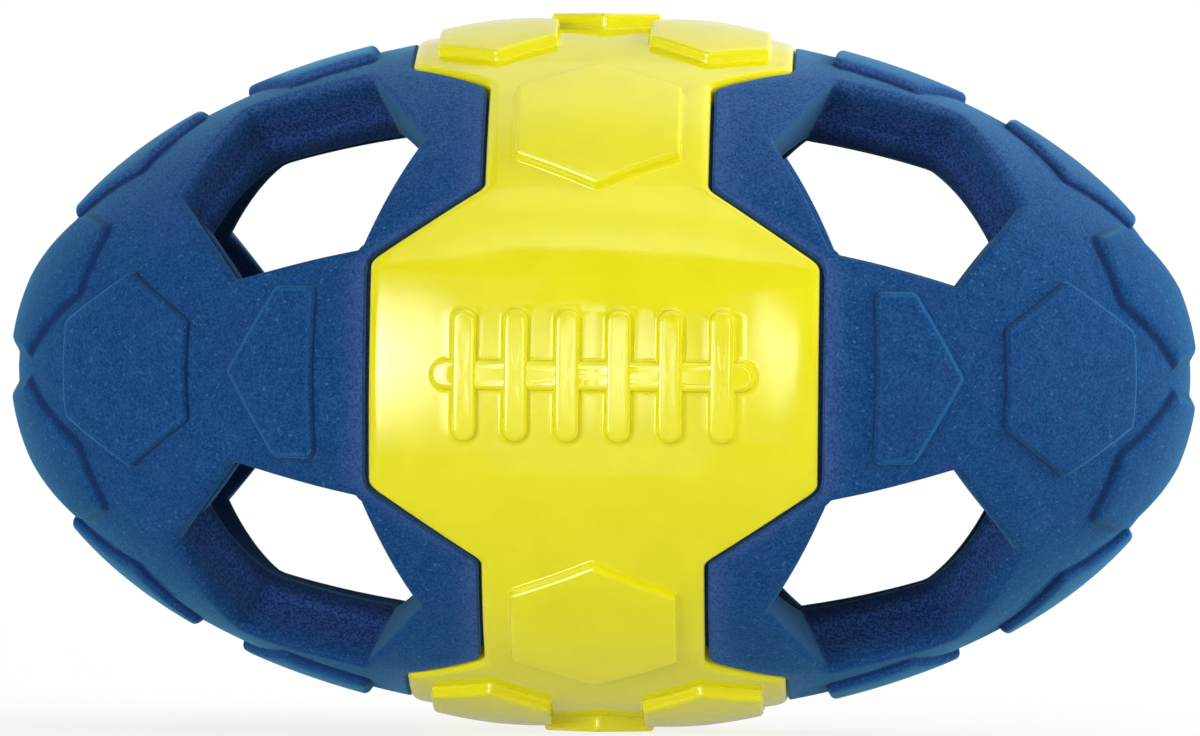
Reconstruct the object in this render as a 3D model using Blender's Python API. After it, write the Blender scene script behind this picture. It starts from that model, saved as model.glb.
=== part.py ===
"""Dog fetch football: two hollow foamed-rubber half shells, joined on a spigot and rebate,
and the one-piece rubber belt that sits in their shared recess and covers the joint.

The ball lies along X on the flat pad under its belt. Its front panel faces -Y, and the origin
is on the floor, under the middle of the ball.
"""
import math

import bmesh
import bpy
from mathutils import Matrix, Vector

MM = 0.001
DEG = math.radians(1.0)

# Skin: an egg of revolution about X, between the raised plates
HALF_LENGTH = 81.9 * MM
HALF_WIDTH = 48.1 * MM
WALL_AT_BELT = 10.9 * MM
WALL_AT_TIP = 8.0 * MM

# Joint between the half shells: a spigot on the left one in a rebate of the right one
SPIGOT_LENGTH = 6.0 * MM
FIT = 0.3 * MM

# Jaw windows: hexagonal holes square to the skin, four at each end, on the diagonals
WINDOW_STATION = 43.4 * MM
WINDOW_TO_TIP = 16.0 * MM
WINDOW_TO_BELT = 20.0 * MM
WINDOW_TIP_SHOULDER = 7.8 * MM
WINDOW_BELT_SHOULDER = 10.6 * MM
WINDOW_HALF_WIDTH = 16.8 * MM
WINDOW_DRAFT = 4.0 * DEG

# Belt: wide panels at front and back, narrower ones at top and bottom, necks between
BELT_THICKNESS = 3.5 * MM
BELT_PROUD = 0.4 * MM
BELT_GROOVE = 0.55 * MM
FRONT_PANEL_HALF = 30.5 * MM
FRONT_PANEL_END = 20.1 * DEG
NECK_HALF = 15.2 * MM
NECK_START = 32.6 * DEG
NECK_END = 56.9 * DEG
TOP_PANEL_HALF = 26.2 * MM
TOP_PANEL_START = 66.8 * DEG

# Raised plates on the shells; a setback is measured from the tip, along the axis
SHELL_PLATE_HEIGHT = 1.4 * MM
NOSE_PLATE_SETBACK = 17.3 * MM
NOSE_PLATE_RADIUS = 13.5 * MM
SHOULDER_PLATE_STATION = 37.5 * MM
SHOULDER_PLATE_RADIUS = 13.6 * MM
FRONT_SHOULDER_START = 37.9 * MM
TOP_SHOULDER_START = 31.8 * MM
TIP_PLATE_SETBACK = 4.3 * MM
TIP_PLATE_HALF_LENGTH = 12.7 * MM
TIP_PLATE_HALF_SIDE = 6.6 * MM
TIP_PLATE_HALF_WIDTH = 7.2 * MM

# Raised plates and lacing on the belt
BELT_PLATE_HEIGHT = 1.5 * MM
NECK_PLATE_ANGLE = 45.5 * DEG
NECK_PLATE_RADIUS = 13.2 * MM
PANEL_PLATE_RADIUS = 9.6 * MM
PANEL_PLATE_STATION = 14.6 * MM
PANEL_PLATE_ANGLE = 14.6 * DEG
REST_PAD_RADIUS = 8.8 * MM
LACE_HEIGHT = 1.0 * MM
LACE_HALF_LENGTH = 22.0 * MM
LACE_HALF_WIDTH = 2.0 * MM
STITCH_COUNT = 6
STITCH_PITCH = 7.0 * MM
STITCH_HALF_LENGTH = 9.0 * MM
STITCH_HALF_WIDTH = 1.7 * MM

# Facets of the skin
AROUND = 40
ALONG = 22
BAND_STEP = 6.0 * DEG
BAND_COLUMNS = 9

FRONT, TOP, BACK, BOTTOM = (90.0 * DEG * quarter for quarter in range(4))
DIAGONALS = [45.0 * DEG + quarter for quarter in (FRONT, TOP, BACK, BOTTOM)]
LEFT, RIGHT = -1, 1
CENTRE_HEIGHT = HALF_WIDTH + BELT_PROUD + BELT_PLATE_HEIGHT
PLATE_ROOT = 0.25 * WALL_AT_TIP
BEYOND = 2.0 * HALF_LENGTH


def outward(angle):
    """Direction square to the ball's axis, at an angle from the front over the top."""
    return Vector((0.0, -math.cos(angle), math.sin(angle)))


def skin_radius(station, offset=0.0):
    """Radius of the skin, or of a layer offset from it, at a distance along the axis."""
    share = station / (HALF_LENGTH + offset)
    return (HALF_WIDTH + offset) * math.sqrt(1.0 - share * share)


def skin_frame(end, station, angle):
    """Frame on the skin: x runs to the tip at that end, z points out, y runs round the ball."""
    radius = skin_radius(station)
    along = end * station / HALF_LENGTH ** 2
    out = (Vector((along, 0.0, 0.0)) + outward(angle) * (radius / HALF_WIDTH ** 2)).normalized()
    side = out.cross(Vector((end, 0.0, 0.0))).normalized()
    to_tip = side.cross(out)
    turn = Matrix((to_tip, side, out)).transposed().to_4x4()
    place = outward(angle) * radius + Vector((end * station, 0.0, 0.0))
    return Matrix.Translation(place) @ turn


def hexagon(radius, first=0.0):
    """Corners of a regular hexagon, the first at an angle from local x."""
    turns = [first + 60.0 * DEG * corner for corner in range(6)]
    return [(radius * math.cos(turn), radius * math.sin(turn)) for turn in turns]


def long_hexagon(to_tip, tip_shoulder, to_belt, belt_shoulder, half_width):
    """Corners of a hexagon with a point to the tip and one to the belt."""
    return [(to_tip, 0.0), (tip_shoulder, half_width), (-belt_shoulder, half_width),
            (-to_belt, 0.0), (-belt_shoulder, -half_width), (tip_shoulder, -half_width)]


def shoulder_plate(start):
    """Corners of a hexagon pointing to the tip, cut straight across on its belt side."""
    radius = SHOULDER_PLATE_RADIUS
    half_width = radius * math.sin(60.0 * DEG)
    cut = start - SHOULDER_PLATE_STATION
    return [(radius, 0.0), (0.5 * radius, half_width), (cut, half_width),
            (cut, -half_width), (0.5 * radius, -half_width)]


def lacing():
    """Outline of a bar along the panel with stitches across it."""
    edge = [(-LACE_HALF_LENGTH, -LACE_HALF_WIDTH)]
    for stitch in range(STITCH_COUNT):
        middle = (stitch - 0.5 * (STITCH_COUNT - 1)) * STITCH_PITCH
        left, right = middle - STITCH_HALF_WIDTH, middle + STITCH_HALF_WIDTH
        edge += [(left, -LACE_HALF_WIDTH), (left, -STITCH_HALF_LENGTH),
                 (right, -STITCH_HALF_LENGTH), (right, -LACE_HALF_WIDTH)]
    edge.append((LACE_HALF_LENGTH, -LACE_HALF_WIDTH))
    return edge + [(-along, -across) for along, across in edge]


def add_prism(bm, outline, frame, low, high, draft=0.0):
    """Add a prism on an outline in a frame; draft widens it from its given size outwards."""
    spread = [Matrix.Diagonal((*[1.0 + math.tan(draft) * level / WINDOW_HALF_WIDTH] * 2, 1.0, 1.0))
              for level in (low, high)]
    base = [bm.verts.new(frame @ spread[0] @ Vector((x, y, low))) for x, y in outline]
    cap = [bm.verts.new(frame @ spread[1] @ Vector((x, y, high))) for x, y in outline]
    bm.faces.new(base[::-1])
    bm.faces.new(cap)
    bmesh.ops.bridge_loops(bm, edges=[edge for edge in bm.edges
                                      if edge.is_boundary or not edge.link_faces])


def add_egg(bm, long_offset, round_offset, inside_out=False):
    """Add the skin's egg, larger or smaller by an offset at the tips and round the middle."""
    egg = bmesh.ops.create_uvsphere(bm, u_segments=AROUND, v_segments=ALONG, radius=1.0)["verts"]
    bmesh.ops.rotate(bm, verts=egg, matrix=Matrix.Rotation(90.0 * DEG, 3, "Y"))
    size = (HALF_LENGTH + long_offset, HALF_WIDTH + round_offset, HALF_WIDTH + round_offset)
    bmesh.ops.scale(bm, verts=egg, vec=size)
    if inside_out:
        bmesh.ops.reverse_faces(bm, faces=list({face for vert in egg for face in vert.link_faces}))


def make_object(name, bm):
    """Object from a bmesh, with its faces turned out unless the bmesh has nested layers."""
    mesh = bpy.data.meshes.new(name)
    bm.to_mesh(mesh)
    bm.free()
    made = bpy.data.objects.new(name, mesh)
    bpy.context.scene.collection.objects.link(made)
    return made


def make_egg(name, long_offset, round_offset):
    """Solid egg."""
    bm = bmesh.new()
    add_egg(bm, long_offset, round_offset)
    return make_object(name, bm)


def make_layer(name, low, high):
    """Closed layer between two offsets from the skin."""
    bm = bmesh.new()
    add_egg(bm, high, high)
    add_egg(bm, low, low, inside_out=True)
    return make_object(name, bm)


def make_turned(name, profile):
    """Solid turned about X from a profile of (station, radius) corners."""
    bm = bmesh.new()
    corners = [bm.verts.new((station, 0.0, radius)) for station, radius in profile]
    edges = [bm.edges.new(pair) for pair in zip(corners, corners[1:])]
    bmesh.ops.spin(bm, geom=corners + edges, axis=(1.0, 0.0, 0.0), cent=(0.0, 0.0, 0.0),
                   steps=AROUND, angle=360.0 * DEG, use_merge=True)
    bmesh.ops.remove_doubles(bm, verts=bm.verts, dist=0.0001 * MM)
    bmesh.ops.recalc_face_normals(bm, faces=bm.faces)
    return make_object(name, bm)


def belt_corners(margin):
    """Corners of a quarter of the belt's outline: half width at an angle from the front."""
    front_lean = math.atan2(FRONT_PANEL_HALF - NECK_HALF, (NECK_START - FRONT_PANEL_END) * HALF_WIDTH)
    top_lean = math.atan2(TOP_PANEL_HALF - NECK_HALF, (TOP_PANEL_START - NECK_END) * HALF_WIDTH)
    front_shift = margin * math.tan(0.5 * front_lean) / HALF_WIDTH
    top_shift = margin * math.tan(0.5 * top_lean) / HALF_WIDTH
    return [(FRONT_PANEL_HALF + margin, 0.0),
            (FRONT_PANEL_HALF + margin, FRONT_PANEL_END + front_shift),
            (NECK_HALF + margin, NECK_START + front_shift),
            (NECK_HALF + margin, NECK_END - top_shift),
            (TOP_PANEL_HALF + margin, TOP_PANEL_START - top_shift),
            (TOP_PANEL_HALF + margin, 90.0 * DEG)]


def belt_edge(margin):
    """Half width and angle all round the belt, stepped finely enough to follow the ball."""
    quarter = []
    corners = belt_corners(margin)
    for (half, angle), (next_half, next_angle) in zip(corners, corners[1:]):
        steps = max(1, round((next_angle - angle) / BAND_STEP))
        quarter += [(half + (next_half - half) * step / steps,
                     angle + (next_angle - angle) * step / steps) for step in range(steps)]
    quarter.append(corners[-1])
    half_round = quarter + [(half, 180.0 * DEG - angle) for half, angle in quarter[-2::-1]]
    return half_round + [(half, 180.0 * DEG + angle) for half, angle in half_round[1:]]


def make_band(name, margin, low, high):
    """Closed ring on the belt's outline, between two offsets from the skin."""
    bm = bmesh.new()
    edge = belt_edge(margin)
    grid = bmesh.ops.create_grid(bm, x_segments=len(edge) - 1, y_segments=BAND_COLUMNS, size=1.0)
    for vert in grid["verts"]:
        half, angle = edge[round(0.5 * (vert.co.x + 1.0) * (len(edge) - 1))]
        station = half * vert.co.y
        vert.co = outward(angle) * skin_radius(station, high) + Vector((station, 0.0, 0.0))
    bmesh.ops.remove_doubles(bm, verts=bm.verts, dist=0.001 * MM)
    inner = bmesh.ops.extrude_face_region(bm, geom=bm.faces[:], use_keep_orig=True)
    for vert in inner["geom"]:
        if isinstance(vert, bmesh.types.BMVert):
            away = Vector((0.0, vert.co.y, vert.co.z)).normalized()
            vert.co = away * skin_radius(vert.co.x, low) + Vector((vert.co.x, 0.0, 0.0))
    bmesh.ops.recalc_face_normals(bm, faces=bm.faces)
    return make_object(name, bm)


def combine(target, other, operation):
    """Apply a Boolean with another object and remove that object."""
    step = target.modifiers.new(other.name, "BOOLEAN")
    step.operation = operation
    step.object = other
    evaluated = target.evaluated_get(bpy.context.evaluated_depsgraph_get())
    target.data = bpy.data.meshes.new_from_object(evaluated)
    target.modifiers.clear()
    bpy.data.objects.remove(other)
    return target


def make_windows(end):
    """The four window cutters of one end."""
    bm = bmesh.new()
    outline = long_hexagon(WINDOW_TO_TIP, WINDOW_TIP_SHOULDER, WINDOW_TO_BELT,
                           WINDOW_BELT_SHOULDER, WINDOW_HALF_WIDTH)
    for angle in DIAGONALS:
        add_prism(bm, outline, skin_frame(end, WINDOW_STATION, angle),
                  -1.8 * WALL_AT_BELT, WALL_AT_BELT, WINDOW_DRAFT)
    return make_object("windows", bm)


def make_shell_plates(end):
    """Raised plates of one end: two on each bar between windows, one over each window."""
    bm = bmesh.new()
    reach = (-WALL_AT_TIP, WALL_AT_TIP)
    for angle in (FRONT, TOP, BACK, BOTTOM):
        start = FRONT_SHOULDER_START if angle in (FRONT, BACK) else TOP_SHOULDER_START
        nose = hexagon(NOSE_PLATE_RADIUS, 30.0 * DEG)
        add_prism(bm, nose, skin_frame(end, HALF_LENGTH - NOSE_PLATE_SETBACK, angle), *reach)
        shoulder = shoulder_plate(start)
        add_prism(bm, shoulder, skin_frame(end, SHOULDER_PLATE_STATION, angle), *reach)
    tip = long_hexagon(TIP_PLATE_HALF_LENGTH, TIP_PLATE_HALF_SIDE, TIP_PLATE_HALF_LENGTH,
                       TIP_PLATE_HALF_SIDE, TIP_PLATE_HALF_WIDTH)
    for angle in DIAGONALS:
        add_prism(bm, tip, skin_frame(end, HALF_LENGTH - TIP_PLATE_SETBACK, angle), *reach)
    plates = make_object("shell_plates", bm)
    return combine(plates, make_layer("layer", -PLATE_ROOT, SHELL_PLATE_HEIGHT), "INTERSECT")


def make_joint_cutter(end):
    """What a half shell lacks on the other side of the joint: all but a spigot, or more."""
    skin_at_joint = HALF_WIDTH - BELT_THICKNESS
    bore = HALF_WIDTH - WALL_AT_BELT
    spigot_radius = 0.5 * (skin_at_joint + bore) - 0.5 * FIT
    if end == LEFT:
        profile = [(BEYOND, 0.0), (SPIGOT_LENGTH, 0.0), (SPIGOT_LENGTH, spigot_radius),
                   (-0.5 * FIT, spigot_radius), (-0.5 * FIT, BEYOND), (BEYOND, BEYOND),
                   (BEYOND, 0.0)]
    else:
        rebate = (SPIGOT_LENGTH + FIT, spigot_radius + FIT)
        profile = [(-BEYOND, 0.0), (rebate[0], 0.0), rebate, (0.5 * FIT, rebate[1]),
                   (0.5 * FIT, BEYOND), (-BEYOND, BEYOND), (-BEYOND, 0.0)]
    return make_turned("joint_cutter", profile)


def make_shell(name, end):
    """Half shell: hollow egg with plates, windows, its half of the recess and of the joint."""
    shell = make_egg(name, 0.0, 0.0)
    combine(shell, make_shell_plates(end), "UNION")
    combine(shell, make_egg("cavity", -WALL_AT_TIP, -WALL_AT_BELT), "DIFFERENCE")
    combine(shell, make_windows(end), "DIFFERENCE")
    combine(shell, make_band("recess", BELT_GROOVE, -BELT_THICKNESS, BEYOND), "DIFFERENCE")
    return combine(shell, make_joint_cutter(end), "DIFFERENCE")


def make_belt_plates():
    """Raised plates of the belt that follow its curve: on the necks and round the rest pads."""
    bm = bmesh.new()
    reach = (-WALL_AT_BELT, WALL_AT_BELT)
    neck = hexagon(NECK_PLATE_RADIUS, 30.0 * DEG)
    corner = hexagon(PANEL_PLATE_RADIUS, 30.0 * DEG)
    for middle in (FRONT, BACK):
        for angle in (middle + NECK_PLATE_ANGLE, middle - NECK_PLATE_ANGLE):
            add_prism(bm, neck, skin_frame(RIGHT, 0.0, angle), *reach)
    for middle in (TOP, BOTTOM):
        for end in (LEFT, RIGHT):
            for angle in (middle + PANEL_PLATE_ANGLE, middle - PANEL_PLATE_ANGLE):
                add_prism(bm, corner, skin_frame(end, PANEL_PLATE_STATION, angle), *reach)
    plates = make_object("belt_plates", bm)
    layer = make_layer("layer", -0.5 * BELT_THICKNESS, BELT_PROUD + BELT_PLATE_HEIGHT)
    return combine(plates, layer, "INTERSECT")


def make_lacing():
    """Raised lacing on the front and back panels."""
    bm = bmesh.new()
    for angle in (FRONT, BACK):
        add_prism(bm, lacing(), skin_frame(RIGHT, 0.0, angle), -WALL_AT_BELT, WALL_AT_BELT)
    layer = make_layer("layer", -0.5 * BELT_THICKNESS, BELT_PROUD + LACE_HEIGHT)
    return combine(make_object("lacing", bm), layer, "INTERSECT")


def make_rest_pads():
    """Flat-topped plates in the middle of the top and bottom panels; the ball lies on one."""
    bm = bmesh.new()
    pad = hexagon(REST_PAD_RADIUS, 30.0 * DEG)
    for angle in (TOP, BOTTOM):
        add_prism(bm, pad, skin_frame(RIGHT, 0.0, angle),
                  -0.5 * BELT_THICKNESS, BELT_PROUD + BELT_PLATE_HEIGHT)
    return make_object("rest_pads", bm)


def make_belt(name):
    """One-piece belt with its plates, pads and lacing."""
    belt = make_band(name, 0.0, FIT - BELT_THICKNESS, BELT_PROUD)
    for relief in (make_belt_plates(), make_rest_pads(), make_lacing()):
        combine(belt, relief, "UNION")
    return belt


def make_rubber(name, colour, roughness):
    """Plain rubber of one colour."""
    rubber = bpy.data.materials.new(name)
    rubber.use_nodes = True
    shader = rubber.node_tree.nodes["Principled BSDF"]
    shader.inputs["Base Color"].default_value = (*colour, 1.0)
    shader.inputs["Roughness"].default_value = roughness
    shader.inputs["Metallic"].default_value = 0.0
    return rubber


def finish(piece, rubber, parent):
    """Weld stray corners, shade the round faces smooth, colour the piece and hang it in place."""
    bm = bmesh.new()
    bm.from_mesh(piece.data)
    bmesh.ops.remove_doubles(bm, verts=bm.verts, dist=0.002 * MM)
    bmesh.ops.dissolve_degenerate(bm, edges=bm.edges, dist=0.002 * MM)
    bmesh.ops.triangulate(bm, faces=bm.faces)
    bm.to_mesh(piece.data)
    bm.free()
    piece.data.shade_smooth()
    piece.data.set_sharp_from_angle(angle=30.0 * DEG)
    piece.data.materials.clear()
    piece.data.materials.append(rubber)
    piece.parent = parent


def main():
    """Build the ball about its middle and stand it on the floor."""
    for old in list(bpy.data.objects):
        bpy.data.objects.remove(old)
    middle = bpy.data.objects.new("ball_middle", None)
    middle.location = (0.0, 0.0, CENTRE_HEIGHT)
    bpy.context.scene.collection.objects.link(middle)
    foam = make_rubber("blue_foam_rubber", (0.012, 0.055, 0.175), 0.75)
    gloss = make_rubber("yellow_rubber", (0.768, 0.723, 0.021), 0.3)
    finish(make_shell("left_shell", LEFT), foam, middle)
    finish(make_shell("right_shell", RIGHT), foam, middle)
    finish(make_belt("belt"), gloss, middle)
    for piece in middle.children:
        print(piece.name, len(piece.data.polygons), "triangles")


main()
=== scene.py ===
"""Looks of a dog fetch football: foamed-rubber half shells, a glossy rubber belt and the studio.

Lengths are in metres. The ball's long axis is X, its front panel faces -Y and it lies on Z = 0.
Each piece is modelled about the ball's middle and moved up onto the floor at the end. Angles round
the ball start at the front and rise over the top; a lean is an angle from the tip to the middle.
"""
import logging
import math
from dataclasses import dataclass
from enum import Enum
from functools import cached_property
from typing import Callable, Iterable, Sequence, TypeAlias

import bmesh
import bpy
from bmesh.types import BMesh, BMVert
from mathutils import Matrix, Vector


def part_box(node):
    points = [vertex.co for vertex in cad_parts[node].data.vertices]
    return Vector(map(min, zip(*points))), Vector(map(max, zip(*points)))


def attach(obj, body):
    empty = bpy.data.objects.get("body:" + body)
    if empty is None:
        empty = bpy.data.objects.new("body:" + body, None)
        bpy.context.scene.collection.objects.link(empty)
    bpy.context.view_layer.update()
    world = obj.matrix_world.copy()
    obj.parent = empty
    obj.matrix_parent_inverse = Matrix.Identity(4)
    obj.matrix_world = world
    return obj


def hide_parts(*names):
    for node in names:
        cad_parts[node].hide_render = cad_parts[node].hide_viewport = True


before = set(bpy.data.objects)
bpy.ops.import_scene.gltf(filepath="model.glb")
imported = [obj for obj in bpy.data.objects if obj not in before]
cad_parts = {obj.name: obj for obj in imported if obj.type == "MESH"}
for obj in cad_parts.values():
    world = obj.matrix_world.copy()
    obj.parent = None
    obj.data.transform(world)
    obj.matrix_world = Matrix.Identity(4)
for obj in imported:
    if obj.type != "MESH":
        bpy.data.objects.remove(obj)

LOG = logging.getLogger("fetch_football")
MM = 0.001
DEG = math.radians(1.0)
SIXTH_TURN = 60.0 * DEG
QUARTER_TURN = 90.0 * DEG
HALF_TURN = 180.0 * DEG
MERGE = 0.002 * MM
TINY = 0.01 * MM
SHARP_EDGE = 50.0 * DEG
WHITE = (1.0, 1.0, 1.0, 1.0)
Flat: TypeAlias = tuple[float, float]
Corners: TypeAlias = tuple[Flat, ...]
Ring: TypeAlias = list[Vector]
Colour: TypeAlias = tuple[float, float, float, float]
Number: TypeAlias = "Value | float"
Given: TypeAlias = "Value | float | Sequence[float]"


class End(Enum):
    """The two ends of the ball, by the sign of X."""

    LEFT = -1
    RIGHT = 1


class Quarter(Enum):
    """Middles of the belt's four panels, as angles in degrees round the ball."""

    FRONT = 0.0
    TOP = 90.0
    BACK = 180.0
    BOTTOM = 270.0

    @property
    def angle(self) -> float:
        """The angle in radians."""
        return self.value * DEG


WIDE_PANELS = (Quarter.FRONT, Quarter.BACK)
NARROW_PANELS = (Quarter.TOP, Quarter.BOTTOM)


def round_point(station: float, radius: float, angle: float) -> Vector:
    """Point at a station along X, a radius and an angle round the ball."""
    return Vector((station, -radius * math.cos(angle), radius * math.sin(angle)))


def fold(angle: float) -> float:
    """Angle of the matching place in the quarter between the front and the top."""
    return abs((angle + QUARTER_TURN) % HALF_TURN - QUARTER_TURN)


def shares(steps: int) -> list[float]:
    """Even shares of a whole, from 0 to 1."""
    return [step / steps for step in range(steps + 1)]


def soft_step(low: float, high: float, value: float) -> float:
    """Smooth step from 0 at one value to 1 at another."""
    share = max(0.0, min(1.0, (value - low) / (high - low)))
    return share * share * (3.0 - 2.0 * share)


@dataclass(frozen=True)
class Egg:
    """A skin of revolution about X, with an ellipse as its profile."""

    half_length: float
    half_width: float

    @property
    def shrink(self) -> Vector:
        """Factors along X, Y and Z that turn the skin into a ball of radius 1."""
        return Vector((1 / self.half_length, 1 / self.half_width, 1 / self.half_width))

    def grown(self, offset: float) -> "Egg":
        """The skin a distance further out."""
        return Egg(self.half_length + offset, self.half_width + offset)

    def lean(self, station: float) -> float:
        """Lean of the points at a station along X."""
        return math.acos(station / self.half_length)

    def at(self, lean: float, angle: float) -> Vector:
        """Point at a lean from the tip and an angle round the ball."""
        return round_point(self.half_length * math.cos(lean), self.half_width * math.sin(lean), angle)

    def place(self, station: float, angle: float) -> Vector:
        """Point at a station along X and an angle round the ball."""
        return self.at(self.lean(station), angle)

    def flat(self, point: Vector) -> Vector:
        """Map of a point: its lean as the distance from the tip, in the direction of its angle."""
        lean = math.atan2(math.hypot(point.y, point.z) / self.half_width, point.x / self.half_length)
        return Vector((-point.y, point.z)).normalized() * lean

    def unflat(self, spot: Vector) -> Vector:
        """Point of a spot on the map."""
        return self.at(spot.length, math.atan2(spot.y, spot.x))

    def pierced(self, start: Vector, way: Vector) -> Vector:
        """Where a line passes out through the skin.

        Args:
            start: a point on the line.
            way: the line's direction, roughly outwards.

        Returns:
            The point of the skin on the side that the direction points to.
        """
        near, step = start * self.shrink, way * self.shrink
        square, half, rest = step.dot(step), near.dot(step), near.dot(near) - 1.0
        return start + way * ((math.sqrt(half * half - square * rest) - half) / square)


@dataclass(frozen=True)
class Spot:
    """A frame on a skin at the right end: x to the tip, y round the ball, z straight out."""

    egg: Egg
    station: float
    angle: float

    @cached_property
    def axes(self) -> Matrix:
        """The frame as a matrix."""
        place, shrink = self.egg.place(self.station, self.angle), self.egg.shrink
        out = (place * shrink * shrink).normalized()
        side = out.cross(Vector((1.0, 0.0, 0.0))).normalized()
        turn = Matrix((side.cross(out), side, out)).transposed().to_4x4()
        return Matrix.Translation(place) @ turn

    def line(self, spot: Vector, draft: float = 0.0) -> tuple[Vector, Vector]:
        """Point and direction of a line out through a spot, spread by a draft except towards the belt."""
        way = self.axes.to_3x3() @ Vector((max(spot.x, 0.0) * draft, spot.y * draft, 1.0))
        return self.axes @ Vector((*spot, 0.0)), way


def rounded(corners: Sequence[Flat], radius: float, arc_steps: int,
            side_steps: int) -> list[tuple[Vector, Vector]]:
    """Closed outline with rounded corners, from the middle of its first corner.

    Args:
        corners: the sharp corners, anticlockwise.
        radius: radius of the rounding.
        arc_steps: steps of each rounded corner, an even number.
        side_steps: steps of each straight side.

    Returns:
        Points of the outline, each with its outward direction.
    """
    loop = []
    points = [Vector(corner) for corner in corners]
    sides = [(there - here).normalized() for here, there in zip(points, points[1:] + points[:1])]
    turns = [-sides[index - 1].angle_signed(side) for index, side in enumerate(sides)]
    for index, (here, go, turn) in enumerate(zip(points, sides, turns)):
        come, after = sides[index - 1], (index + 1) % len(points)
        outward = Vector((come.y, -come.x))
        centre = here - come * radius * math.tan(turn / 2) - outward * radius
        for share in shares(arc_steps):
            ray = Matrix.Rotation(turn * share, 2) @ outward
            loop.append((centre + ray * radius, ray))
        last, stop = loop[-1][0], points[after] - go * radius * math.tan(turns[after] / 2)
        for share in shares(side_steps)[1:-1]:
            loop.append((last.lerp(stop, share), Vector((go.y, -go.x))))
    half = arc_steps // 2
    return loop[half:] + loop[:half]


def evenly(path: Callable[[float], Vector], start: float, stop: float, count: int,
           fine: int = 300) -> list[float]:
    """Cut a path round the ball into pieces of equal length.

    Args:
        path: point of the path at an angle.
        start: angle where the path starts.
        stop: angle where it stops.
        count: number of pieces.
        fine: number of short steps by which the path is measured.

    Returns:
        The angles where the pieces end.
    """
    points = [path(start + (stop - start) * share) for share in shares(fine)]
    run = [0.0]
    for here, there in zip(points, points[1:]):
        run.append(run[-1] + (there - here).length)
    cuts, step = [], 0
    for cut in range(1, count + 1):
        goal = run[-1] * cut / count
        while step < fine - 1 and run[step + 1] < goal:
            step += 1
        within = (goal - run[step]) / max(run[step + 1] - run[step], TINY)
        cuts.append(start + (stop - start) * ((step + min(1.0, within)) / fine))
    return cuts


def rounding(starts: Ring, corners: Ring, ends: Ring, steps: int) -> list[Ring]:
    """Rings that lead from one ring to another and soften the corners between them.

    Args:
        starts: the ring that they start from.
        corners: the sharp corners.
        ends: the ring that they lead to.
        steps: number of rings.

    Returns:
        The rings after the first, up to the ends.
    """
    rings = []
    for share in shares(steps)[1:]:
        trios = zip(starts, corners, ends)
        rings.append([start.lerp(corner, share).lerp(corner.lerp(end, share), share)
                      for start, corner, end in trios])
    return rings


def extrude_chain(bm: BMesh, chain: Sequence[BMVert], points: Iterable[Vector],
                  closed: bool = True) -> list[BMVert]:
    """Extrude a chain of edges and move each new vertex to its place.

    Args:
        bm: the mesh that holds the chain.
        chain: the chain's vertices, in order.
        points: the new vertices' places, in the same order.
        closed: whether the last vertex joins the first.

    Returns:
        The new chain's vertices, in the same order.
    """
    pairs = zip(chain, [*chain[1:], chain[0]] if closed else chain[1:])
    grown = bmesh.ops.extrude_edge_only(bm, edges=[bm.edges.get(pair) for pair in pairs])["geom"]
    fresh = {item for item in grown if isinstance(item, BMVert)}
    follow = [next(edge.other_vert(old) for edge in old.link_edges if edge.other_vert(old) in fresh)
              for old in chain]
    for vert, point in zip(follow, points):
        vert.co = point
    return follow


def loft(bm: BMesh, rings: Sequence[Ring]) -> list[BMVert]:
    """Skin a row of closed rings.

    Args:
        bm: the mesh to add to.
        rings: the rings, with matching points.

    Returns:
        The first ring's vertices, in order.
    """
    first = chain = [bm.verts.new(point) for point in rings[0]]
    for pair in zip(first, first[1:] + first[:1]):
        bm.edges.new(pair)
    for ring in rings[1:]:
        chain = extrude_chain(bm, chain, ring)
    return first


def closed_normals(bm: BMesh) -> None:
    """Merge the seams of a closed mesh and turn its faces out."""
    bmesh.ops.remove_doubles(bm, verts=bm.verts, dist=MERGE)
    bmesh.ops.recalc_face_normals(bm, faces=bm.faces)


def add_object(name: str, data: bpy.types.ID) -> bpy.types.Object:
    """Add an object to the scene.

    Args:
        name: its name.
        data: its mesh, lamp or lens.

    Returns:
        The object, at the origin.
    """
    made = bpy.data.objects.new(name, data)
    bpy.context.scene.collection.objects.link(made)
    return made


def mesh_object(name: str, bm: BMesh) -> bpy.types.Object:
    """Turn a bmesh into an object of the scene.

    Args:
        name: the object's name.
        bm: its mesh, which is freed.

    Returns:
        The object.
    """
    mesh = bpy.data.meshes.new(name)
    bm.to_mesh(mesh)
    bm.free()
    return add_object(name, mesh)


def finished_object(name: str, bm: BMesh, lift: float) -> bpy.types.Object:
    """Turn a bmesh into a smooth-shaded piece.

    Args:
        name: the piece's name.
        bm: its mesh, about the ball's middle.
        lift: height of the ball's middle over the floor.

    Returns:
        The piece, at the origin with its place in its mesh.
    """
    bmesh.ops.translate(bm, verts=bm.verts, vec=(0.0, 0.0, lift))
    piece = mesh_object(name, bm)
    piece.data.shade_smooth()
    piece.data.set_sharp_from_angle(angle=SHARP_EDGE)
    LOG.info("%s: %d faces", name, len(piece.data.polygons))
    return piece


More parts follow.
